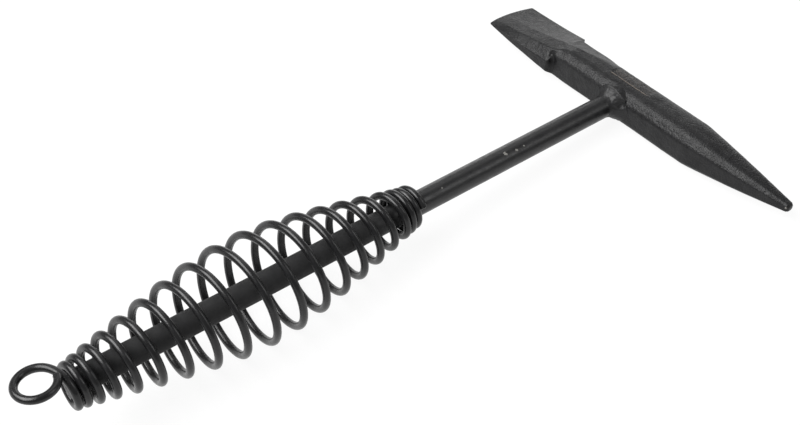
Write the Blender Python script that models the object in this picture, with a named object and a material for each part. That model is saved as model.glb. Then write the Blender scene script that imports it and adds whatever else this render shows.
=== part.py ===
"""Welder's chipping hammer.

A forged head, with a blunt point at one end and a chisel edge at the other, is welded across the
front of a round rod. A wire spring wound as a barrel is the grip: its rear end is bent into a
hanging ring, and a bead of weld holds each of its ends to the rod. Nothing on it is jointed.

The pieces are modelled in the rod's own frame: X runs along the rod to the head, with 0 just behind
the spring's rear turn, Y runs along the head to the chisel edge, and Z is up. One empty then lays
them all down as the hammer lies on a bench, on the barrel's belly and the head.
"""

import math

import bmesh
import bpy
import numpy as np
from mathutils import Matrix, Vector

MM = 0.001

# Driving dimensions, in metres.
ROD_DIAMETER = 10.0 * MM
ROD_START = 2.0 * MM
ROD_CHAMFER = 0.8 * MM
HEAD_STATION = 278.5 * MM

BAR_ACROSS_FLATS = 17.7 * MM
BAR_CORNER = 3.6 * MM
SOCKET_DEPTH = 7.0 * MM
POINT_REACH = 93.9 * MM
POINT_TAPER_START = 42.0 * MM
POINT_TIP_WIDTH = 3.8 * MM
POINT_FULLNESS = 1.15
BLADE_REACH = 76.9 * MM
BLADE_WIDTH = 25.0 * MM
BLADE_SHOULDER = 37.0 * MM
BLADE_SHOULDER_RUN = 2.0 * MM
BLADE_TAPER_START = 30.0 * MM
BLADE_SIDE_THICKNESS = 7.4 * MM
BLADE_RIDGE_WIDTH = 4.0 * MM
EDGE_THICKNESS = 1.2 * MM
EDGE_SKEW = math.radians(5.0)
EDGE_CROWN = 1.2 * MM
EDGE_RISE = 0.9 * MM
BLADE_OFFSET = 0.8 * MM
EDGE_OFFSET = 0.9 * MM
TIP_OFFSET = 0.5 * MM

WIRE_DIAMETER = 3.15 * MM
COIL_START = 0.3 * MM
COIL_START_ANGLE = math.radians(43.0)
COIL_TURNS = 19.05
COIL_CLEARANCE = 0.9 * MM
COIL_LEAN = 0.0065
BELLY_TURN = 9.37
BELLY_RADIUS = 20.75 * MM
BELLY_ROUNDING = 25.8 * MM
BARREL_TAPER = 0.245
# Open space between neighbouring turns, as (turn, gap): closed ends, open middle.
TURN_GAPS = (
    (0.0, 0.2 * MM),
    (1.0, 0.2 * MM),
    (5.0, 6.2 * MM),
    (9.0, 9.5 * MM),
    (11.0, 8.3 * MM),
    (15.9, 4.65 * MM),
    (16.4, 0.2 * MM),
    (19.05, 0.2 * MM),
)

RING_RADIUS = 7.5 * MM
RING_SETBACK = 2.3 * MM
RING_SHIFT = 0.6 * MM
RING_LIFT = 1.1 * MM
RING_NORMAL = Vector((-0.05, 0.09, 0.995)).normalized()
RING_START_ANGLE = math.radians(50.0)
RING_END_ANGLE = math.radians(347.0)

WELD_LENGTH = 6.0 * MM
WELD_REACH_ALONG_HEAD = 5.6 * MM
WELD_REACH_ACROSS_HEAD = 3.4 * MM
WELD_CURVE = 2.2
TACK_LENGTH = 4.0 * MM
TACK_WIDTH = 5.0 * MM
TACK_HEIGHT = 2.2 * MM
TACK_TUCK = 0.5 * MM
PLUG_HEIGHT = 1.6 * MM

GAP = 0.3 * MM

# Resolution.
POINTS_PER_TURN = 20
RING_POINTS = 22
LEAD_POINTS = 7
WIRE_BEVEL_RESOLUTION = 2
ROD_SIDES = 32
WELD_SIDES = 32
WELD_RINGS = 6
POINT_SECTIONS = 7
BLADE_SECTIONS = 6

# Sizes that follow.
ROD_RADIUS = ROD_DIAMETER / 2
WIRE_RADIUS = WIRE_DIAMETER / 2
BAR_HALF = BAR_ACROSS_FLATS / 2
BAR_FLAT_HALF = BAR_HALF - BAR_CORNER
ROD_END = HEAD_STATION - BAR_HALF + SOCKET_DEPTH
COIL_END_RADIUS = ROD_RADIUS + COIL_CLEARANCE + WIRE_RADIUS


def smooth_step(value):
    """Ease from 0 to 1 as value goes from 0 to 1."""
    t = min(max(value, 0.0), 1.0)
    return t * t * (3 - 2 * t)


def black_paint(name, color, roughness):
    material = bpy.data.materials.new(name)
    material.use_nodes = True
    shader = material.node_tree.nodes["Principled BSDF"]
    shader.inputs["Base Color"].default_value = (*color, 1.0)
    shader.inputs["Roughness"].default_value = roughness
    shader.inputs["Metallic"].default_value = 0.0
    material.diffuse_color = (*color, 1.0)
    return material


def mesh_object(name, bm, collection, material=None):
    bmesh.ops.recalc_face_normals(bm, faces=bm.faces)
    mesh = bpy.data.meshes.new(name)
    bm.to_mesh(mesh)
    bm.free()
    piece = bpy.data.objects.new(name, mesh)
    collection.objects.link(piece)
    if material is not None:
        mesh.materials.append(material)
        mesh.shade_smooth()
        mesh.set_sharp_from_angle(angle=math.radians(35))
    return piece


def loft(rings):
    """A closed solid through rings of points, each ring with the same number of points."""
    bm = bmesh.new()
    rows = [[bm.verts.new(point) for point in ring] for ring in rings]
    count = len(rows[0])
    for near, far in zip(rows, rows[1:]):
        for i in range(count):
            j = (i + 1) % count
            bm.faces.new((near[i], near[j], far[j], far[i]))
    bm.faces.new(rows[0])
    bm.faces.new(rows[-1])
    return bm


def cutter(name, bm, collection):
    tool = mesh_object(name, bm, collection)
    tool.hide_render = True
    tool.display_type = "WIRE"
    return tool


def subtract(piece, tool):
    cut = piece.modifiers.new("cut_" + tool.name, "BOOLEAN")
    cut.operation = "DIFFERENCE"
    cut.solver = "EXACT"
    cut.object = tool


def rod_cylinder(name, radius, start, end, collection, material=None, chamfer=0.0):
    """A cylinder on the rod's axis, with its rear end chamfered."""
    bm = bmesh.new()
    place = Matrix.Translation(((start + end) / 2, 0, 0)) @ Matrix.Rotation(math.pi / 2, 4, "Y")
    bmesh.ops.create_cone(bm, cap_ends=True, segments=ROD_SIDES, radius1=radius, radius2=radius,
                          depth=end - start, matrix=place)
    if chamfer > 0.0:
        rear = [e for e in bm.edges if all(abs(v.co.x - start) < GAP / 10 for v in e.verts)]
        bmesh.ops.bevel(bm, geom=rear, offset=chamfer, segments=1, affect="EDGES")
    if material is None:
        return cutter(name, bm, collection)
    return mesh_object(name, bm, collection, material)


# Head


def eight_sided_section(y, sizes, grow, shift=(0.0, 0.0), skew=0.0, crown=0.0):
    """The head's section at y: flats above, below and at both sides, joined by corner faces."""
    half_x, half_z, flat_x, flat_z = sizes
    corners = (
        (half_x, flat_z), (flat_x, half_z), (-flat_x, half_z), (-half_x, flat_z),
        (-half_x, -flat_z), (-flat_x, -half_z), (flat_x, -half_z), (half_x, -flat_z),
    )
    ring = []
    for x, z in corners:
        back = skew * x + crown * (x / (BLADE_WIDTH / 2)) ** 2
        outward = Vector((x, 0, z)).normalized() * grow
        ring.append(Vector((HEAD_STATION + x + shift[0], y - back, z + shift[1])) + outward)
    return ring


def point_section(share, grow):
    """The four-sided point: share 0 is where its taper starts, and 1 is its tip."""
    y = POINT_TAPER_START + (POINT_REACH - POINT_TAPER_START) * share
    tip_half = POINT_TIP_WIDTH / 2
    half = tip_half + (BAR_HALF - tip_half) * (1 - share ** POINT_FULLNESS)
    flat = half * BAR_FLAT_HALF / BAR_HALF
    return eight_sided_section(-y, (half, half, flat, flat), grow, (TIP_OFFSET * share ** 2, 0))


def blade_section(y, grow):
    """The chisel end: wider than the bar, ridged along its middle, and thin at its edge."""
    wedge = max(y - BLADE_TAPER_START, 0.0) / (BLADE_REACH - BLADE_TAPER_START)
    blade = max(y - BLADE_SHOULDER, 0.0) / (BLADE_REACH - BLADE_SHOULDER)
    spread = smooth_step((y - BLADE_SHOULDER) / BLADE_SHOULDER_RUN + 0.5)
    edge_half = EDGE_THICKNESS / 2
    half_z = BAR_HALF + (edge_half - BAR_HALF) * wedge
    half_x = BAR_HALF + (BLADE_WIDTH / 2 - BAR_HALF) * spread
    side = BLADE_SIDE_THICKNESS / 2
    flat_z = BAR_FLAT_HALF + (side + (edge_half * 0.6 - side) * blade - BAR_FLAT_HALF) * spread
    ridge = BLADE_RIDGE_WIDTH / 2 + (BLADE_WIDTH / 2 * 0.9 - BLADE_RIDGE_WIDTH / 2) * blade ** 3
    flat_x = BAR_FLAT_HALF + (ridge - BAR_FLAT_HALF) * smooth_step(wedge * 3)
    lean = blade * blade
    shift = (BLADE_OFFSET * spread + EDGE_OFFSET * lean, EDGE_RISE * lean)
    sizes = (half_x, half_z, flat_x, min(flat_z, half_z * 0.9))
    return eight_sided_section(y, sizes, grow, shift, math.tan(EDGE_SKEW) * lean, EDGE_CROWN * lean)


def head_rings(grow=0.0):
    rings = [point_section(1 - i / POINT_SECTIONS, grow) for i in range(POINT_SECTIONS + 1)]
    shoulder_end = BLADE_SHOULDER + BLADE_SHOULDER_RUN / 2
    stations = [BLADE_TAPER_START, BLADE_SHOULDER - BLADE_SHOULDER_RUN / 2]
    for i in range(BLADE_SECTIONS + 1):
        stations.append(shoulder_end + (BLADE_REACH - shoulder_end) * i / BLADE_SECTIONS)
    rings += [blade_section(y, grow) for y in stations]
    return rings


def make_head(parts, cutters, material):
    head = mesh_object("head", loft(head_rings()), parts, material)
    socket = rod_cylinder("head_socket", ROD_RADIUS + GAP, HEAD_STATION - 2 * BAR_HALF,
                          ROD_END + GAP, cutters)
    subtract(head, socket)
    return [head, socket]


# Weld around the rod at the head


def weld_ring(share):
    """The fillet's outline: share 0 is its thin rear rim, and 1 is inside the head's face."""
    x = HEAD_STATION - BAR_HALF - WELD_LENGTH + (WELD_LENGTH + BAR_CORNER) * share
    rise = min(share * (WELD_LENGTH + BAR_CORNER) / WELD_LENGTH, 1.0) ** WELD_CURVE
    rim = ROD_RADIUS + 3 * GAP
    radius_y = rim + (WELD_REACH_ALONG_HEAD - 2 * GAP) * rise
    radius_z = rim + (WELD_REACH_ACROSS_HEAD - 2 * GAP) * rise
    ring = []
    for i in range(WELD_SIDES):
        angle = 2 * math.pi * i / WELD_SIDES
        ring.append(Vector((x, radius_y * math.cos(angle), radius_z * math.sin(angle))))
    return ring


def make_head_weld(parts, cutters, material):
    rings = [weld_ring(i / (WELD_RINGS - 1)) for i in range(WELD_RINGS)]
    weld = mesh_object("head_weld", loft(rings), parts, material)
    bar = cutter("head_clearance", loft(head_rings(GAP)), cutters)
    bore = rod_cylinder("weld_bore", ROD_RADIUS + GAP, HEAD_STATION - 4 * BAR_HALF,
                        HEAD_STATION, cutters)
    subtract(weld, bar)
    subtract(weld, bore)
    return [weld, bar, bore]


# Spring grip


def coil_stations(turns):
    """Distance along the rod at each turn: the pitch is the wire plus the gap at that turn."""
    fine = np.linspace(0.0, COIL_TURNS, 2001)
    gap_turns, gaps = zip(*TURN_GAPS)
    pitch = WIRE_DIAMETER + np.interp(fine, gap_turns, gaps)
    steps = (pitch[1:] + pitch[:-1]) / 2 * np.diff(fine)
    return COIL_START + np.interp(turns, fine, np.concatenate(([0.0], np.cumsum(steps))))


def coil_radii(stations):
    """A barrel: straight cones that meet in a rounded belly, and end close around the rod."""
    belly = coil_stations(BELLY_TURN)
    fall = np.hypot(stations - belly, BELLY_ROUNDING) - BELLY_ROUNDING
    return np.maximum(BELLY_RADIUS - BARREL_TAPER * fall, COIL_END_RADIUS)


def coil_rise(stations):
    """The spring isn't quite true on the rod: it rides high at the head's end, and low at the ring's."""
    return COIL_LEAN * (stations - coil_stations(BELLY_TURN))


def coil_points():
    turns = np.linspace(0.0, COIL_TURNS, round(POINTS_PER_TURN * COIL_TURNS))
    stations = coil_stations(turns)
    radii = coil_radii(stations)
    angles = COIL_START_ANGLE + 2 * np.pi * turns
    heights = radii * np.cos(angles) + coil_rise(stations)
    columns = (stations, -radii * np.sin(angles), heights)
    return [Vector(point) for point in np.stack(columns, axis=1)]


def ring_points():
    """The hanging ring, from its cut end round to where it runs into the coil."""
    center = Vector((-RING_RADIUS - RING_SETBACK, RING_SHIFT, COIL_END_RADIUS + RING_LIFT))
    along = Vector((1, 0, 0)) - RING_NORMAL * RING_NORMAL.x
    along.normalize()
    across = RING_NORMAL.cross(along)
    points = []
    for i in range(RING_POINTS):
        angle = RING_END_ANGLE + (RING_START_ANGLE - RING_END_ANGLE) * i / (RING_POINTS - 1)
        offset = along * math.cos(angle) + across * math.sin(angle)
        points.append(center + offset * RING_RADIUS)
    return points


def lead_points(ring, coil):
    """A smooth bend from the ring's end to the coil's start, without their own points."""
    start, end = ring[-1], coil[0]
    span = (end - start).length
    leave = (ring[-1] - ring[-2]).normalized() * span
    arrive = (coil[1] - coil[0]).normalized() * span
    points = []
    for i in range(1, LEAD_POINTS):
        t = i / LEAD_POINTS
        points.append(
            start * (2 * t ** 3 - 3 * t ** 2 + 1) + leave * (t ** 3 - 2 * t ** 2 + t)
            + end * (-2 * t ** 3 + 3 * t ** 2) + arrive * (t ** 3 - t ** 2)
        )
    return points


def wire_path():
    coil = coil_points()
    ring = ring_points()
    return ring + lead_points(ring, coil) + coil


def make_spring(parts, material, path):
    curve = bpy.data.curves.new("spring_grip", "CURVE")
    curve.dimensions = "3D"
    curve.bevel_depth = WIRE_RADIUS
    curve.bevel_resolution = WIRE_BEVEL_RESOLUTION
    curve.use_fill_caps = True
    spline = curve.splines.new("POLY")
    spline.points.add(len(path) - 1)
    for slot, point in zip(spline.points, path):
        slot.co = (*point, 1.0)
    curve.materials.append(material)
    spring = bpy.data.objects.new("spring_grip", curve)
    parts.objects.link(spring)
    return [spring]


def weld_bead(name, center, half_sizes, parts, material):
    bm = bmesh.new()
    place = Matrix.Translation(center) @ Matrix.Diagonal((*half_sizes, 1.0))
    bmesh.ops.create_uvsphere(bm, u_segments=16, v_segments=8, radius=1.0, matrix=place)
    return mesh_object(name, bm, parts, material)


def last_turn_under_rod():
    """The turn at which the wire last passes straight under the rod."""
    start = COIL_START_ANGLE / (2 * math.pi)
    return math.floor(start + COIL_TURNS - 0.5) + 0.5 - start


def make_front_tack(parts, cutters, material):
    """A bead of weld under the rod, tucked in against the round side of the spring's front turn."""
    wire = float(coil_stations(last_turn_under_rod()))
    station = wire + WIRE_RADIUS + GAP - TACK_TUCK + TACK_LENGTH / 2
    tack = weld_bead("front_tack_weld", (station, 0, -ROD_RADIUS),
                     (TACK_LENGTH / 2, TACK_WIDTH / 2, TACK_HEIGHT), parts, material)
    bore = rod_cylinder("tack_bore", ROD_RADIUS + GAP, station - TACK_LENGTH,
                        station + TACK_LENGTH, cutters)
    subtract(tack, bore)
    return [tack, bore]


def make_rear_plug(parts, cutters, material):
    """A low dome of weld on the rod's end, inside the spring's rear turn."""
    radius = COIL_END_RADIUS - WIRE_RADIUS - GAP
    face = ROD_START - GAP
    center = (face, 0, float(coil_rise(face)))
    plug = weld_bead("rear_plug_weld", center, (PLUG_HEIGHT, radius, radius), parts, material)
    front_half = rod_cylinder("plug_face", 2 * radius, face, face + 2 * PLUG_HEIGHT, cutters)
    subtract(plug, front_half)
    return [plug, front_half]


# Resting attitude


def rest_tilt(path):
    """How far the rod dips to the head when the belly and the head's front corner both touch."""
    corner = HEAD_STATION + BAR_FLAT_HALF
    slopes = [(-BAR_HALF - (p.z - WIRE_RADIUS)) / (corner - p.x) for p in path]
    return math.atan(max(slopes))


def lay_down(rest, pieces, tilt):
    """Tilt everything, with the middle of its base at the world's origin."""
    rest.rotation_euler = (0, tilt, 0)
    bpy.context.view_layer.update()
    graph = bpy.context.evaluated_depsgraph_get()
    low = Vector((math.inf,) * 3)
    high = -low
    for piece in pieces:
        evaluated = piece.evaluated_get(graph)
        mesh = evaluated.to_mesh()
        for vertex in mesh.vertices:
            point = evaluated.matrix_world @ vertex.co
            low = Vector(map(min, low, point))
            high = Vector(map(max, high, point))
        evaluated.to_mesh_clear()
    rest.location = (-(low.x + high.x) / 2, -(low.y + high.y) / 2, -low.z)


def main():
    for old in list(bpy.data.objects):
        bpy.data.objects.remove(old, do_unlink=True)
    parts = bpy.data.collections.new("chipping_hammer")
    cutters = bpy.data.collections.new("cutters")
    bpy.context.scene.collection.children.link(parts)
    bpy.context.scene.collection.children.link(cutters)

    path = wire_path()
    made = make_head(parts, cutters, black_paint("head_black", (0.012, 0.012, 0.013), 0.42))
    made.append(rod_cylinder("rod", ROD_RADIUS, ROD_START, ROD_END, parts,
                             black_paint("rod_black", (0.013, 0.013, 0.014), 0.38), ROD_CHAMFER))
    made += make_head_weld(parts, cutters, black_paint("weld_black", (0.013, 0.013, 0.014), 0.5))
    made += make_spring(parts, black_paint("spring_black", (0.010, 0.010, 0.011), 0.32), path)
    made += make_front_tack(parts, cutters, black_paint("tack_black", (0.013, 0.013, 0.014), 0.5))
    made += make_rear_plug(parts, cutters, black_paint("plug_black", (0.013, 0.013, 0.014), 0.5))

    rest = bpy.data.objects.new("rest", None)
    parts.objects.link(rest)
    for piece in made:
        piece.parent = rest
    solids = [piece for piece in made if piece.name in parts.objects]
    lay_down(rest, solids, rest_tilt(path))
    bpy.context.view_layer.update()


main()
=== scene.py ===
import math

import bmesh
import bpy
import numpy as np
from mathutils import Euler, Matrix, Vector, noise


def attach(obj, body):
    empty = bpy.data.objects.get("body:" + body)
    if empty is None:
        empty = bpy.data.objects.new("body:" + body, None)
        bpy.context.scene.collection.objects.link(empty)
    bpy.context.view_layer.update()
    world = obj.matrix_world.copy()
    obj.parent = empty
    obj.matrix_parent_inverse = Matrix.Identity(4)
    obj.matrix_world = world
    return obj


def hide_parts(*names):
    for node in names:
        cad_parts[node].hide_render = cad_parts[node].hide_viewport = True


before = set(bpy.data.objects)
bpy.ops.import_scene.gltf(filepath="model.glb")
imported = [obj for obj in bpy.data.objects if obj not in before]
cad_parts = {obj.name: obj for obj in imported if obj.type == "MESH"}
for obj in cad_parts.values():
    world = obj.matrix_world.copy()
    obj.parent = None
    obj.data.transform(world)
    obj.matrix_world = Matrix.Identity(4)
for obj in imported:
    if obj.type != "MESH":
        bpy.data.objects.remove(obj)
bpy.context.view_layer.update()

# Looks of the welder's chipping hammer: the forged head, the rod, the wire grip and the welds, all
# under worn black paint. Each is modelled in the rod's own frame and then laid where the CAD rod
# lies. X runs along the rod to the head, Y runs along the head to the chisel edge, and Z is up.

MM = 0.001

# Sizes that follow the CAD model, in metres.
ROD_RADIUS = 5.0 * MM
ROD_START = 2.0 * MM
ROD_CHAMFER = 0.8 * MM
HEAD_STATION = 278.5 * MM
BAR_HALF = 8.85 * MM
BAR_FLAT_HALF = 5.25 * MM
SOCKET_DEPTH = 7.0 * MM
ROD_END = HEAD_STATION - BAR_HALF + SOCKET_DEPTH

POINT_REACH = 93.9 * MM
POINT_TAPER_START = 42.0 * MM
POINT_TIP_HALF = 1.9 * MM
POINT_FULLNESS = 1.15
TIP_OFFSET = 0.5 * MM
BLADE_REACH = 76.9 * MM
BLADE_HALF = 12.5 * MM
BLADE_SHOULDER = 37.0 * MM
BLADE_SHOULDER_RUN = 2.0 * MM
BLADE_TAPER_START = 30.0 * MM
BLADE_SIDE_HALF = 3.7 * MM
EDGE_HALF = 0.6 * MM
EDGE_SKEW = math.radians(5.0)
EDGE_CROWN = 1.2 * MM
EDGE_RISE = 0.9 * MM
BLADE_OFFSET = 0.8 * MM
EDGE_OFFSET = 0.9 * MM

WIRE_RADIUS = 1.575 * MM
COIL_START = 0.3 * MM
COIL_START_ANGLE = math.radians(43.0)
COIL_TURNS = 19.05
COIL_END_RADIUS = ROD_RADIUS + 0.9 * MM + WIRE_RADIUS
COIL_LEAN = 0.0065
BELLY_TURN = 9.37
BELLY_RADIUS = 20.75 * MM
BELLY_ROUNDING = 25.8 * MM
BARREL_TAPER = 0.245
TURN_GAPS = (
    (0.0, 0.2 * MM),
    (1.0, 0.2 * MM),
    (5.0, 6.2 * MM),
    (9.0, 9.5 * MM),
    (11.0, 8.3 * MM),
    (15.9, 4.65 * MM),
    (16.4, 0.2 * MM),
    (19.05, 0.2 * MM),
)
RING_RADIUS = 7.5 * MM
RING_SETBACK = 2.3 * MM
RING_SHIFT = 0.6 * MM
RING_LIFT = 1.1 * MM
RING_NORMAL = Vector((-0.05, 0.09, 0.995)).normalized()
RING_LEAD_ANGLE = math.radians(50.0)
RING_CUT_ANGLE = math.radians(347.0)

WELD_LENGTH = 6.0 * MM
TACK_HALF = (2.0 * MM, 2.5 * MM, 2.2 * MM)
TACK_TUCK = 0.5 * MM
PLUG_HEIGHT = 1.6 * MM
GAP = 0.3 * MM

# Finer shape than the CAD has. Near means towards the grip, and far means away from it.
NEAR_CORNER_DROP = 0.82
CREASE_START = 9 * MM
CREASE_RUN = 22 * MM
CREASE_SHIFT = 8.0 * MM
NEAR_STEP_START = 33 * MM
NEAR_STEP_RUN = 6 * MM
NEAR_STEP_OUT = 3.2 * MM
NEAR_STEP_DROP = 0.05
FAR_SIDE_RISE = 0.9 * MM
PANEL_NEAR = -0.9 * MM
PANEL_FAR = 5.6 * MM
PANEL_START = -14.3 * MM
PANEL_END = 8.8 * MM
PANEL_DEPTH = 0.22 * MM
PANEL_RIM = 0.10 * MM
WELD_BURIED = 3.4 * MM
WELD_SINK = 0.05 * MM
WELD_ALONG_HEAD = 5.5 * MM
WELD_ACROSS_HEAD = 3.8 * MM
WELD_CURVE = 2.4

# Resolution of the meshes.
WIRE_SIDES = 20
WIRE_POINTS_PER_TURN = 60
RING_POINTS = 66
LEAD_POINTS = 20
ROD_SIDES = 96
EDGE_SAMPLES = 14
CORNER_SAMPLES = 8
WELD_STEPS = 44
WELD_SIDES = 160
PLUG_STEPS = 24
PLUG_SIDES = 64


def rod_frame(rod):
    """The rod's own frame, from its CAD node. X starts just behind the spring's rear turn."""
    points = np.array([vertex.co for vertex in rod.data.vertices])
    center = (points.min(axis=0) + points.max(axis=0)) / 2
    along = np.linalg.svd(points - points.mean(axis=0), full_matrices=False)[2][0]
    along = along * np.sign(along[0])
    front = ((points - center) @ along).max()
    x = Vector(along).normalized()
    y = Vector((0, 1, 0))
    z = x.cross(y)
    origin = Vector(center) + x * (front - ROD_END)
    matrix = Matrix((x, y, z)).transposed().to_4x4()
    matrix.translation = origin
    return matrix


REST = rod_frame(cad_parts["rod"])


# Mesh helpers


def smooth_step(value):
    t = min(max(value, 0.0), 1.0)
    return t * t * (3 - 2 * t)


def closed_loft(rings):
    """A closed mesh through rings of points, with a fan of faces at each end."""
    bm = bmesh.new()
    rows = [[bm.verts.new(point) for point in ring] for ring in rings]
    count = len(rows[0])
    for near, far in zip(rows, rows[1:]):
        for i in range(count):
            j = (i + 1) % count
            bm.faces.new((near[i], near[j], far[j], far[i]))
    for row in (rows[0], rows[-1]):
        middle = bm.verts.new(sum((vertex.co for vertex in row), Vector()) / count)
        for i in range(count):
            bm.faces.new((row[i], row[(i + 1) % count], middle))
    bmesh.ops.recalc_face_normals(bm, faces=bm.faces)
    return bm


def round_ring(x, radius, sides, rise=0.0):
    """A ring of points around the rod's line, at x along it and lifted by rise."""
    return [Vector((x, radius * math.cos(a), radius * math.sin(a) + rise))
            for a in np.linspace(0, 2 * math.pi, sides, endpoint=False)]


def displace(bm, offset):
    """Moves each point along its normal by what offset(point) says."""
    bm.normal_update()
    moves = [vertex.normal * offset(vertex.co) for vertex in bm.verts]
    for vertex, move in zip(bm.verts, moves):
        vertex.co += move


def piece(name, bm, material, slot, *nodes, sharp=40):
    """Lays a finished mesh where the hammer lies, and puts it in place of its CAD nodes."""
    bm.transform(REST)
    mesh = bpy.data.meshes.new(name)
    bm.to_mesh(mesh)
    bm.free()
    mesh.shade_smooth()
    mesh.set_sharp_from_angle(angle=math.radians(sharp))
    mesh.materials.append(material)
    made = bpy.data.objects.new(name, mesh)
    bpy.context.scene.collection.objects.link(made)
    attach(made, "root")
    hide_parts(*nodes)


def rough(point, size, octaves=4):
    """Fractal noise of about -1 to 1, with features of the given size."""
    return noise.fractal(point / size, 1.0, 2.0, octaves)


# Head


def crease_x(y):
    """Where the blade's far facet starts: it leaves the bar's far corner and nears the middle."""
    run = 1 - math.exp(-max(y - CREASE_START, 0.0) / CREASE_RUN)
    return BAR_FLAT_HALF - CREASE_SHIFT * run


def point_corners(share):
    """The eight corners of the point's section, from its far side round over the top."""
    half = POINT_TIP_HALF + (BAR_HALF - POINT_TIP_HALF) * (1 - share ** POINT_FULLNESS)
    flat = half * BAR_FLAT_HALF / BAR_HALF
    shift = TIP_OFFSET * share ** 2
    corners = (
        (half, flat), (flat, half), (-flat, half), (-half, NEAR_CORNER_DROP * flat),
        (-half, -flat), (-flat, -half), (flat, -half), (half, -flat),
    )
    soft, crisp = 0.72 * (half - flat), 0.14 * (half - flat)
    roundings = (3 * crisp, 1.8 * soft, 1.3 * soft, 2.4 * crisp, 2 * crisp, soft, soft, crisp)
    return [(x + shift, z) for x, z in corners], roundings


def blade_corners(y):
    """The eight corners of the section at y, from its far side round over the top."""
    wedge = max(y - BLADE_TAPER_START, 0.0) / (BLADE_REACH - BLADE_TAPER_START)
    blade = max(y - BLADE_SHOULDER, 0.0) / (BLADE_REACH - BLADE_SHOULDER)
    spread = smooth_step((y - BLADE_SHOULDER) / BLADE_SHOULDER_RUN + 0.5)
    top = BAR_HALF + (EDGE_HALF - BAR_HALF) * wedge
    half = BAR_HALF + (BLADE_HALF - BAR_HALF) * spread
    side = BLADE_SIDE_HALF + (EDGE_HALF * 0.6 - BLADE_SIDE_HALF) * blade
    side = BAR_FLAT_HALF + (side - BAR_FLAT_HALF) * spread
    side = min(side, top * 0.9)
    far = crease_x(y)
    near_step = smooth_step((y - NEAR_STEP_START) / NEAR_STEP_RUN)
    near_x = -BAR_FLAT_HALF - NEAR_STEP_OUT * near_step
    near_z = top * (1 - NEAR_STEP_DROP * near_step)
    drop = NEAR_CORNER_DROP + (1 - NEAR_CORNER_DROP) * smooth_step(y / (10 * MM))
    near_side = side * (drop - 0.45 * spread)
    far_side = side + FAR_SIDE_RISE * smooth_step((y - 8 * MM) / (12 * MM)) * (1 - spread)
    low_x = BAR_FLAT_HALF + (2.5 * MM - BAR_FLAT_HALF) * smooth_step(wedge * 3)
    low_x += (BLADE_HALF * 0.8 - low_x) * blade ** 3
    shift_x, shift_z = BLADE_OFFSET * spread + EDGE_OFFSET * blade ** 2, EDGE_RISE * blade ** 2
    corners = (
        (half, far_side), (far, top), (near_x, near_z), (-half, near_side),
        (-half, -side), (-low_x, -top), (low_x, -top), (half, -side),
    )
    soft, crisp = 2.6 * MM, 0.5 * MM * (1 - 0.6 * min(wedge * 1.3, 1.0))
    crease = 1.8 * soft + (crisp - 1.8 * soft) * smooth_step((y - 6 * MM) / (16 * MM))
    near = soft + (2 * crisp - soft) * smooth_step((y - 26 * MM) / (12 * MM))
    near_crisp = crisp + (2 * crisp) * (1 - smooth_step((y - 26 * MM) / (12 * MM)))
    roundings = (max(crisp, 0.3 * crease), crease, near, near_crisp, crisp, near, near, crisp)
    return [(x + shift_x, z + shift_z) for x, z in corners], roundings


def cut_back(corner, other, rounding):
    """The point a rounding's reach from the corner towards another one."""
    way = other - corner
    return corner + way * min(rounding / max(way.length, 1e-9), 0.46)


def rounded_outline(corners, roundings):
    """Samples a closed outline of (x, z) corners, each rounded by a curve of its own reach."""
    points = []
    corners = [Vector(corner) for corner in corners]
    count = len(corners)
    for i, corner in enumerate(corners):
        j = (i + 1) % count
        start = cut_back(corner, corners[i - 1], roundings[i])
        end = cut_back(corner, corners[j], roundings[i])
        for k in range(CORNER_SAMPLES):
            t = k / CORNER_SAMPLES
            points.append(start * (1 - t) ** 2 + corner * 2 * t * (1 - t) + end * t ** 2)
        following = cut_back(corners[j], corner, roundings[j])
        for k in range(EDGE_SAMPLES):
            points.append(end + (following - end) * (k / EDGE_SAMPLES))
    return points


def head_ring(y, outline, lean=0.0, squeeze=1.0):
    middle = sum(outline, Vector((0, 0))) / len(outline)
    ring = []
    for point in outline:
        x, z = middle + (point - middle) * squeeze
        back = math.tan(EDGE_SKEW) * lean * x + EDGE_CROWN * lean * (x / BLADE_HALF) ** 2
        ring.append(Vector((HEAD_STATION + x, y - back, z)))
    return ring


def head_stations():
    """Sections close together where the shape turns quickly, and further apart elsewhere."""
    point = np.arange(POINT_REACH - 1.0 * MM, 20 * MM, -0.8 * MM)
    middle = np.arange(-20 * MM, BLADE_SHOULDER - 3 * MM, 0.55 * MM)
    shoulder = np.arange(BLADE_SHOULDER - 3 * MM, BLADE_SHOULDER + 3 * MM, 0.25 * MM)
    blade = np.arange(BLADE_SHOULDER + 3 * MM, BLADE_REACH - 0.4 * MM, 0.7 * MM)
    return np.concatenate((-point, middle, shoulder, blade))


def head_section(y):
    if y < -POINT_TAPER_START:
        share = (-y - POINT_TAPER_START) / (POINT_REACH - POINT_TAPER_START)
        return rounded_outline(*point_corners(share)), 0.0
    if y <= 0:
        return rounded_outline(*point_corners(0.0)), 0.0
    lean = (max(y - BLADE_SHOULDER, 0.0) / (BLADE_REACH - BLADE_SHOULDER)) ** 2
    return rounded_outline(*blade_corners(y)), lean


def blank_panel(x, y):
    """1 inside the shallow blank panel on the far side of the head's top, and 0 outside."""
    near = smooth_step((x - PANEL_NEAR) / (0.5 * MM))
    start = smooth_step((y - PANEL_START) / (0.6 * MM))
    end = smooth_step((PANEL_END - y) / (0.6 * MM))
    return near * start * end


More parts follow.
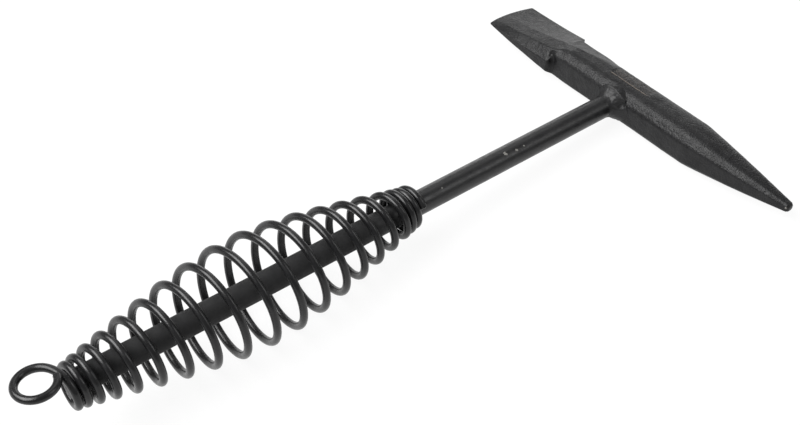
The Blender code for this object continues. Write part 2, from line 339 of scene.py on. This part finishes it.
# Single lumps and pits in the metal, as (place, radius, height).
HEAD_MARKS = (
    ((269.3 * MM, 37.6 * MM, 5.0 * MM), 1.5 * MM, -1.1 * MM),
    ((269.6 * MM, 36.2 * MM, 2.2 * MM), 1.6 * MM, -0.7 * MM),
    ((265.5 * MM, 38.2 * MM, 0.6 * MM), 0.8 * MM, -0.5 * MM),
)
WELD_MARKS = (
    ((264.4 * MM, -4.6 * MM, 5.4 * MM), 1.2 * MM, 0.5 * MM),
    ((266.6 * MM, -2.2 * MM, 7.2 * MM), 1.4 * MM, -0.35 * MM),
    ((268.9 * MM, -7.4 * MM, 4.2 * MM), 1.5 * MM, -0.9 * MM),
)


def marks_at(point, marks):
    return sum(height * math.exp(-((point - Vector(place)).length / radius) ** 2)
               for place, radius, height in marks)


def forging_marks(point):
    """How far the head's surface stands off its plain shape: scale, dents and the blank panel."""
    x, y, z = point.x - HEAD_STATION, point.y, point.z
    blade = smooth_step((y - 40 * MM) / (20 * MM))
    facet = smooth_step((x - crease_x(y)) / (1.5 * MM)) * smooth_step((y - 12 * MM) / (8 * MM))
    calm = 1 - 0.75 * facet
    corner = smooth_step((min(abs(x), abs(z)) / BAR_HALF - 0.52) * 6)
    tip = smooth_step((-y - 60 * MM) / (30 * MM))
    height = rough(point, 14 * MM, 2) * 0.10 * MM * (1 - 0.4 * tip)
    height += rough(point + Vector((1, 2, 3)), 2.6 * MM, 3) * 0.035 * MM * calm
    height += rough(point + Vector((3, 1, 2)), 1.0 * MM, 2) * 0.035 * MM * corner * calm
    height *= 1 - 0.5 * blade
    height += marks_at(point, HEAD_MARKS)
    if z > 0.75 * BAR_HALF and x > -1.5 * MM:
        far_end = smooth_step((PANEL_FAR - x) / (0.8 * MM))
        height -= PANEL_DEPTH * blank_panel(x, y) * far_end
        rim = math.exp(-((x + 1.0 * MM) / (0.35 * MM)) ** 2)
        height += PANEL_RIM * rim * blank_panel(5 * MM, y)
    return height


def make_head(material):
    rings = [head_ring(y, *head_section(y)) for y in head_stations()]
    tip, _ = head_section(-POINT_REACH)
    blunt = ((0.0, 0.45), (0.1 * MM, 0.72), (0.45 * MM, 0.9), (0.9 * MM, 0.98))
    rings = [head_ring(-POINT_REACH + back, tip, squeeze=squeeze)
             for back, squeeze in blunt] + rings
    edge, lean = head_section(BLADE_REACH)
    for back, squeeze in ((0.15 * MM, 0.985), (0.0, 0.96)):
        rings.append(head_ring(BLADE_REACH - back, edge, lean, squeeze))
    bm = closed_loft(rings)
    displace(bm, forging_marks)
    piece("forged_head", bm, material, "head_paint", "head", sharp=50)


# Weld around the rod


def weld_lumps(point):
    """Ripples that run round the bead as it was laid, and the lumps and pits between them."""
    angle = math.atan2(point.y, point.z)
    reach = math.hypot(point.y, point.z)
    ripple = math.sin(angle * 13 + 2.0 * math.sin(angle * 3 + 1) + reach / (1.6 * MM))
    swell = smooth_step((point.x - (HEAD_STATION - BAR_HALF - WELD_LENGTH)) / (2 * MM))
    height = 0.03 * MM * ripple + 0.20 * MM * rough(point, 3.0 * MM, 3)
    return height * swell + marks_at(point, WELD_MARKS)


def make_head_weld(material):
    """A bead that flares from the rod onto the head, less towards the chisel edge and below."""
    rings = []
    inner = ROD_RADIUS - WELD_SINK
    rear = HEAD_STATION - BAR_HALF - WELD_LENGTH
    for i in range(WELD_STEPS + 1):
        x = rear + (WELD_LENGTH + WELD_BURIED) * i / WELD_STEPS
        rise = min((x - rear) / WELD_LENGTH, 1.0) ** WELD_CURVE
        ring = []
        for k in range(WELD_SIDES):
            angle = 2 * math.pi * k / WELD_SIDES
            outward = Vector((math.cos(angle), math.sin(angle), 0.3))
            wander = 1 + 0.14 * noise.noise(outward * 1.4) + 0.08 * noise.noise(outward * 3.7)
            chisel_side = 1 - 0.5 * smooth_step(outward.x * 1.5)
            below = 1 - 0.5 * smooth_step(-outward.y * 1.5)
            along = inner + WELD_ALONG_HEAD * rise * wander * chisel_side
            across = inner + WELD_ACROSS_HEAD * rise * wander * below
            ring.append(Vector((x, along * math.cos(angle), across * math.sin(angle))))
        rings.append(ring)
    bm = closed_loft(rings)
    displace(bm, weld_lumps)
    piece("head_weld_bead", bm, material, "weld_paint", "head_weld", sharp=70)


# Rod


def make_rod(material):
    profile = [
        (ROD_START, ROD_RADIUS - ROD_CHAMFER),
        (ROD_START + 0.25 * MM, ROD_RADIUS - 0.42 * MM),
        (ROD_START + ROD_CHAMFER, ROD_RADIUS - 0.02 * MM),
    ]
    profile += [(x, ROD_RADIUS) for x in np.arange(ROD_START + 1.2 * MM, ROD_END, 1.6 * MM)]
    bm = closed_loft([round_ring(x, radius, ROD_SIDES) for x, radius in profile])
    displace(bm, lambda point: 0.018 * MM * rough(point, 9 * MM, 2))
    piece("round_rod", bm, material, "rod_paint", "rod")


# Spring grip


def coil_stations(turns):
    """Where the wire's middle lies along the rod after so many turns."""
    fine = np.linspace(0.0, COIL_TURNS, 2001)
    gap_turns, gaps = zip(*TURN_GAPS)
    pitch = 2 * WIRE_RADIUS + np.interp(fine, gap_turns, gaps)
    steps = (pitch[1:] + pitch[:-1]) / 2 * np.diff(fine)
    return COIL_START + np.interp(turns, fine, np.concatenate(([0.0], np.cumsum(steps))))


def coil_rise(stations):
    """How far the leaning coil's middle lies above the rod's."""
    return COIL_LEAN * (stations - coil_stations(BELLY_TURN))


def coil_points():
    turns = np.linspace(0.0, COIL_TURNS, round(WIRE_POINTS_PER_TURN * COIL_TURNS))
    stations = coil_stations(turns)
    belly = coil_stations(BELLY_TURN)
    fall = np.hypot(stations - belly, BELLY_ROUNDING) - BELLY_ROUNDING
    radii = np.maximum(BELLY_RADIUS - BARREL_TAPER * fall, COIL_END_RADIUS)
    angles = COIL_START_ANGLE + 2 * np.pi * turns
    heights = radii * np.cos(angles) + coil_rise(stations)
    columns = (stations, -radii * np.sin(angles), heights)
    return [Vector(point) for point in np.stack(columns, axis=1)]


def ring_points():
    """The hanging ring, from its cut end round to where it runs into the coil."""
    center = Vector((-RING_RADIUS - RING_SETBACK, RING_SHIFT, COIL_END_RADIUS + RING_LIFT))
    along = Vector((1, 0, 0)) - RING_NORMAL * RING_NORMAL.x
    along.normalize()
    across = RING_NORMAL.cross(along)
    points = []
    for angle in np.linspace(RING_CUT_ANGLE, RING_LEAD_ANGLE, RING_POINTS):
        offset = along * math.cos(angle) + across * math.sin(angle)
        points.append(center + offset * RING_RADIUS)
    return points


def lead_points(ring, coil):
    """A smooth bend from the ring's end to the coil's start."""
    start, end = ring[-1], coil[0]
    span = (end - start).length
    leave = (start - ring[-2]).normalized() * span
    arrive = (coil[1] - end).normalized() * span
    points = []
    for t in np.linspace(0, 1, LEAD_POINTS)[1:-1]:
        points.append(
            start * (2 * t ** 3 - 3 * t ** 2 + 1) + leave * (t ** 3 - 2 * t ** 2 + t)
            + end * (-2 * t ** 3 + 3 * t ** 2) + arrive * (t ** 3 - t ** 2)
        )
    return points


def sweep(path, radii):
    """Rings of points around a path, carried along it without twisting."""
    rings = []
    side = None
    for i, point in enumerate(path):
        ahead = path[min(i + 1, len(path) - 1)] - path[max(i - 1, 0)]
        tangent = ahead.normalized()
        if side is None:
            side = tangent.orthogonal()
        side = (side - tangent * side.dot(tangent)).normalized()
        other = tangent.cross(side)
        rings.append([point + (side * math.cos(a) + other * math.sin(a)) * radii[i]
                      for a in np.linspace(0, 2 * math.pi, WIRE_SIDES, endpoint=False)])
    return rings


def make_spring(material):
    coil, ring = coil_points(), ring_points()
    path = ring + lead_points(ring, coil) + coil
    first, last = path[0], path[-1]
    into = (path[1] - path[0]).normalized()
    out = (path[-1] - path[-2]).normalized()
    path = [first - into * 0.15 * MM, first - into * 0.05 * MM] + path
    path += [last + out * 0.05 * MM, last + out * 0.15 * MM]
    radii = [WIRE_RADIUS] * len(path)
    radii[0] = radii[-1] = WIRE_RADIUS * 0.84
    radii[1] = radii[-2] = WIRE_RADIUS * 0.95
    bm = closed_loft(sweep(path, radii))
    piece("spring_wire", bm, material, "spring_paint", "spring_grip")


# Small welds


def make_front_tack(material):
    """A bead under the rod against the spring's front turn."""
    start = COIL_START_ANGLE / (2 * math.pi)
    under_rod = math.floor(start + COIL_TURNS - 0.5) + 0.5 - start
    wire = float(coil_stations(under_rod))
    station = wire + WIRE_RADIUS + GAP - TACK_TUCK + TACK_HALF[0]
    bm = bmesh.new()
    place = Matrix.Translation((station, 0, -ROD_RADIUS)) @ Matrix.Diagonal((*TACK_HALF, 1.0))
    bmesh.ops.create_uvsphere(bm, u_segments=64, v_segments=40, radius=1.0, matrix=place)
    displace(bm, lambda point: 0.22 * MM * rough(point, 1.8 * MM, 3) - 0.1 * MM)
    piece("front_tack_bead", bm, material, "weld_paint", "front_tack_weld", sharp=70)


def make_rear_plug(material):
    """The low dome of weld on the rod's rear end."""
    radius = COIL_END_RADIUS - WIRE_RADIUS - GAP
    rise = float(coil_rise(ROD_START - GAP))
    rings = []
    for i in range(PLUG_STEPS + 1):
        turn = i / PLUG_STEPS * math.pi / 2
        height = PLUG_HEIGHT * math.cos(turn) ** 0.9
        reach = max(radius * math.sin(turn), 0.05 * MM)
        rings.append(round_ring(ROD_START - GAP - height, reach, PLUG_SIDES, rise))
    bm = closed_loft(rings)
    displace(bm, lambda point: 0.2 * MM * rough(point, 2.4 * MM, 3) - 0.1 * MM)
    piece("rear_plug_bead", bm, material, "weld_paint", "rear_plug_weld", sharp=70)


# Materials

DUST = (0.16, 0.155, 0.15)
BARE_STEEL = (0.17, 0.165, 0.155)
WORN_PANEL = (0.034, 0.028, 0.024)
RUBBED_RIM = (0.13, 0.105, 0.085)
GRIP_DULLNESS = 0.34

# Where paint is knocked off, as (place, radius).
TIP_CHIPS = (((277.2 * MM, -92.8 * MM, 0.6 * MM), 0.5 * MM),)
ROD_CHIPS = (
    ((204.7 * MM, -1.9 * MM, 4.6 * MM), 0.85 * MM),
    ((210.5 * MM, -2.7 * MM, 4.2 * MM), 0.65 * MM),
    ((214.7 * MM, -2.6 * MM, 4.3 * MM), 0.45 * MM),
    ((169.4 * MM, -2.4 * MM, 4.4 * MM), 0.32 * MM),
)


def add(tree, kind, **settings):
    made = tree.nodes.new(kind)
    for name, value in settings.items():
        setattr(made, name, value)
    return made


def noise_at(tree, position, scale, detail=4.0, roughness=0.55):
    made = add(tree, "ShaderNodeTexNoise")
    made.inputs["Scale"].default_value = scale
    made.inputs["Detail"].default_value = detail
    made.inputs["Roughness"].default_value = roughness
    tree.links.new(position, made.inputs["Vector"])
    return made.outputs["Fac"]


def ranged(tree, value, low, high, to_low=0.0, to_high=1.0):
    """A smooth step of a value from one range to another."""
    made = add(tree, "ShaderNodeMapRange", interpolation_type="SMOOTHSTEP")
    limits = {"From Min": low, "From Max": high, "To Min": to_low, "To Max": to_high}
    for name, number in limits.items():
        made.inputs[name].default_value = number
    tree.links.new(value, made.inputs["Value"])
    return made.outputs["Result"]


def mixed(tree, factor, first, second):
    """Mixes two colours, each a socket or a tuple, by a factor socket."""
    made = add(tree, "ShaderNodeMix", data_type="RGBA")
    tree.links.new(factor, made.inputs[0])
    for value, slot in ((first, made.inputs[6]), (second, made.inputs[7])):
        if isinstance(value, tuple):
            slot.default_value = (*value, 1.0)
        else:
            tree.links.new(value, slot)
    return made.outputs[2]


def combined(tree, operation, first, second):
    """A Math node's result for two values, each a socket or a number."""
    made = add(tree, "ShaderNodeMath", operation=operation)
    for value, slot in ((first, made.inputs[0]), (second, made.inputs[1])):
        if isinstance(value, float):
            slot.default_value = value
        else:
            tree.links.new(value, slot)
    return made.outputs[0]


def bump(tree, height, distance, strength, before=None):
    made = add(tree, "ShaderNodeBump")
    made.inputs["Distance"].default_value = distance
    made.inputs["Strength"].default_value = strength
    tree.links.new(height, made.inputs["Height"])
    if before is not None:
        tree.links.new(before, made.inputs["Normal"])
    return made.outputs["Normal"]


def chip_mask(tree, position, spots):
    """White where the paint is knocked off, around each (place, radius)."""
    wobble = noise_at(tree, position, 1400.0, 2.0)
    total = None
    for place, radius in spots:
        distance = add(tree, "ShaderNodeVectorMath", operation="DISTANCE")
        distance.inputs[1].default_value = REST @ Vector(place)
        tree.links.new(position, distance.inputs[0])
        ragged = combined(tree, "ADD", distance.outputs["Value"],
                          combined(tree, "MULTIPLY", wobble, 2.4 * radius))
        mask = ranged(tree, ragged, 1.9 * radius, 2.3 * radius, 1.0, 0.0)
        total = mask if total is None else combined(tree, "MAXIMUM", total, mask)
    return total


def band_mask(tree, position, axis, start, end, fade):
    """White between two stations along one axis of the rod's frame: 0, 1 or 2 for X, Y or Z."""
    direction = REST.col[axis].to_3d()
    along = add(tree, "ShaderNodeVectorMath", operation="DOT_PRODUCT")
    along.inputs[1].default_value = direction
    tree.links.new(position, along.inputs[0])
    offset = direction.dot(REST.translation)
    rise = ranged(tree, along.outputs["Value"], start + offset - fade, start + offset + fade)
    fall = ranged(tree, along.outputs["Value"], end + offset - fade, end + offset + fade, 1.0, 0.0)
    return combined(tree, "MULTIPLY", rise, fall)


def panel_wear(tree, position, color):
    """Brownish wear inside the blank panel, and paint rubbed through along its near rim."""
    length = band_mask(tree, position, 1, -13.6 * MM, 8.2 * MM, 0.4 * MM)
    top = band_mask(tree, position, 2, 7.6 * MM, 12.0 * MM, 0.3 * MM)
    place = combined(tree, "MULTIPLY", length, top)
    middle = HEAD_STATION
    inside = band_mask(tree, position, 0, middle - 0.8 * MM, middle + 5.4 * MM, 0.3 * MM)
    patches = ranged(tree, noise_at(tree, position, 900.0, 3.0), 0.42, 0.62)
    brown = combined(tree, "MULTIPLY", combined(tree, "MULTIPLY", place, inside), patches)
    color = mixed(tree, combined(tree, "MULTIPLY", brown, 0.7), color, WORN_PANEL)
    rim = band_mask(tree, position, 0, middle - 1.2 * MM, middle - 0.75 * MM, 0.15 * MM)
    scuffs = ranged(tree, noise_at(tree, position, 500.0, 3.0), 0.34, 0.52)
    rubbed = combined(tree, "MULTIPLY", combined(tree, "MULTIPLY", place, rim), scuffs)
    return mixed(tree, rubbed, color, RUBBED_RIM)


def grip_dullness(tree, position, gloss):
    """Rougher paint on the length of rod inside the spring, which is duller in the photo."""
    inside = band_mask(tree, position, 0, -20 * MM, 138 * MM, 14 * MM)
    return combined(tree, "ADD", gloss, combined(tree, "MULTIPLY", inside, GRIP_DULLNESS))


def black_paint(name, dark, light, shine, grain, grain_depth, dust, specular,
                chips=(), panel=False, gripped=False):
    """Worn black paint: mottled colour and gloss over a fine and a coarse grain.

    dark and light are the mottle's colours, and shine is the range of its roughness. grain and
    grain_depth are the fine grain's noise scale and its depth. dust is how strongly pale specks
    show.
    """
    material = bpy.data.materials.new(name)
    material.use_nodes = True
    tree = material.node_tree
    shader = tree.nodes["Principled BSDF"]
    position = add(tree, "ShaderNodeTexCoord").outputs["Object"]

    mottle = ranged(tree, noise_at(tree, position, 160.0, 5.0), 0.3, 0.7)
    color = mixed(tree, mottle, dark, light)
    fine = noise_at(tree, position, grain, 3.0, 0.5)
    low, high = shine
    gloss = ranged(tree, noise_at(tree, position, 420.0, 4.0), 0.3, 0.7, low, high)
    specks = ranged(tree, noise_at(tree, position, 2600.0, 2.0), 0.66, 0.78, 0.0, dust)
    color = mixed(tree, specks, color, DUST)
    if chips:
        bare = chip_mask(tree, position, chips)
        color = mixed(tree, bare, color, BARE_STEEL)
        gloss = combined(tree, "ADD", gloss, combined(tree, "MULTIPLY", bare, 0.2))
    if panel:
        color = panel_wear(tree, position, color)
    if gripped:
        gloss = grip_dullness(tree, position, gloss)
    shader.inputs["Specular IOR Level"].default_value = specular
    tree.links.new(color, shader.inputs["Base Color"])
    tree.links.new(gloss, shader.inputs["Roughness"])
    coarse = bump(tree, noise_at(tree, position, grain / 6, 3.0), grain_depth * 2.5, 0.35)
    tree.links.new(bump(tree, fine, grain_depth, 0.6, coarse), shader.inputs["Normal"])
    return material


def make_pieces():
    head = black_paint(
        "head_black_paint", dark=(0.0045, 0.0045, 0.005), light=(0.010, 0.010, 0.0105),
        shine=(0.36, 0.46), grain=1300.0, grain_depth=0.00042, dust=0.16, specular=0.27,
        chips=TIP_CHIPS, panel=True,
    )
    rod = black_paint(
        "rod_black_paint", dark=(0.006, 0.006, 0.0065), light=(0.012, 0.012, 0.0125),
        shine=(0.30, 0.42), grain=1600.0, grain_depth=0.00006, dust=0.05, specular=0.42,
        chips=ROD_CHIPS, gripped=True,
    )
    spring = black_paint(
        "spring_black_paint", dark=(0.004, 0.004, 0.0045), light=(0.009, 0.009, 0.0095),
        shine=(0.24, 0.34), grain=1600.0, grain_depth=0.00004, dust=0.03, specular=0.40,
    )
    weld = black_paint(
        "weld_black_paint", dark=(0.007, 0.007, 0.0075), light=(0.014, 0.014, 0.0145),
        shine=(0.36, 0.50), grain=1200.0, grain_depth=0.00020, dust=0.10, specular=0.32,
    )
    make_head(head)
    make_head_weld(weld)
    make_rod(rod)
    make_spring(spring)
    make_front_tack(weld)
    make_rear_plug(weld)


# Stage

FLOOR_SIZE = 8.0
FLOOR_COLOR = 0.09
FLOOR_GLOW = 0.91
SKY_STRENGTH = 0.28

# Each softbox's name, direction from the hammer, distance, size and radiance.
SOFTBOXES = (
    ("left_softbox", (-0.52, 0.28, 0.80), 1.5, (1.5, 0.9), 9.4),
    ("right_softbox", (0.53, -0.56, 0.64), 1.6, (0.45, 0.9), 3.0),
    ("top_softbox", (0.42, 0.42, 0.80), 1.8, (1.1, 1.2), 1.0),
    ("far_backdrop", (0.80, 0.62, 0.10), 2.2, (2.2, 0.8), 2.3),
)

# The camera in the rod's frame, as solved from the photo. Its angles are in degrees.
CAMERA_PLACE = (-0.1125261, -0.2990700, 0.3619327)
CAMERA_ANGLES = (47.66677, -2.14840, -39.27425)
CAMERA_LENS = 60.44
CAMERA_SENSOR = 36.0


def make_floor():
    bpy.ops.mesh.primitive_plane_add(size=FLOOR_SIZE, location=(0, 0, 0))
    floor = bpy.context.object
    floor.name = "floor"
    material = bpy.data.materials.new("floor_white")
    material.use_nodes = True
    shader = material.node_tree.nodes["Principled BSDF"]
    shader.inputs["Base Color"].default_value = (FLOOR_COLOR, FLOOR_COLOR, FLOOR_COLOR, 1)
    shader.inputs["Roughness"].default_value = 0.9
    shader.inputs["Specular IOR Level"].default_value = 0.0
    shader.inputs["Emission Color"].default_value = (1, 1, 1, 1)
    shader.inputs["Emission Strength"].default_value = FLOOR_GLOW
    floor.data.materials.append(material)


def softbox(name, direction, distance, size, radiance):
    """A rectangular area light that faces the hammer from a direction."""
    data = bpy.data.lights.new(name, "AREA")
    data.shape = "RECTANGLE"
    data.size, data.size_y = size
    data.energy = radiance * math.pi * size[0] * size[1]
    light = bpy.data.objects.new(name, data)
    toward = Vector(direction).normalized()
    light.location = toward * distance
    light.rotation_euler = toward.to_track_quat("Z", "Y").to_euler()
    bpy.context.scene.collection.objects.link(light)


def make_light():
    scene = bpy.context.scene
    world = bpy.data.worlds.new("studio")
    world.use_nodes = True
    background = world.node_tree.nodes["Background"]
    background.inputs["Color"].default_value = (1, 1, 1, 1)
    background.inputs["Strength"].default_value = SKY_STRENGTH
    scene.world = world
    scene.view_settings.view_transform = "Standard"
    scene.view_settings.look = "None"
    for box in SOFTBOXES:
        softbox(*box)


def make_camera():
    data = bpy.data.cameras.new("camera")
    data.lens = CAMERA_LENS
    data.sensor_width = CAMERA_SENSOR
    camera = bpy.data.objects.new("camera", data)
    turn = Euler([math.radians(angle) for angle in CAMERA_ANGLES], "XYZ")
    place = Matrix.Translation(CAMERA_PLACE) @ turn.to_matrix().to_4x4()
    camera.matrix_world = REST @ place
    bpy.context.scene.collection.objects.link(camera)
    bpy.context.scene.camera = camera


make_camera()
make_pieces()
make_floor()
make_light()
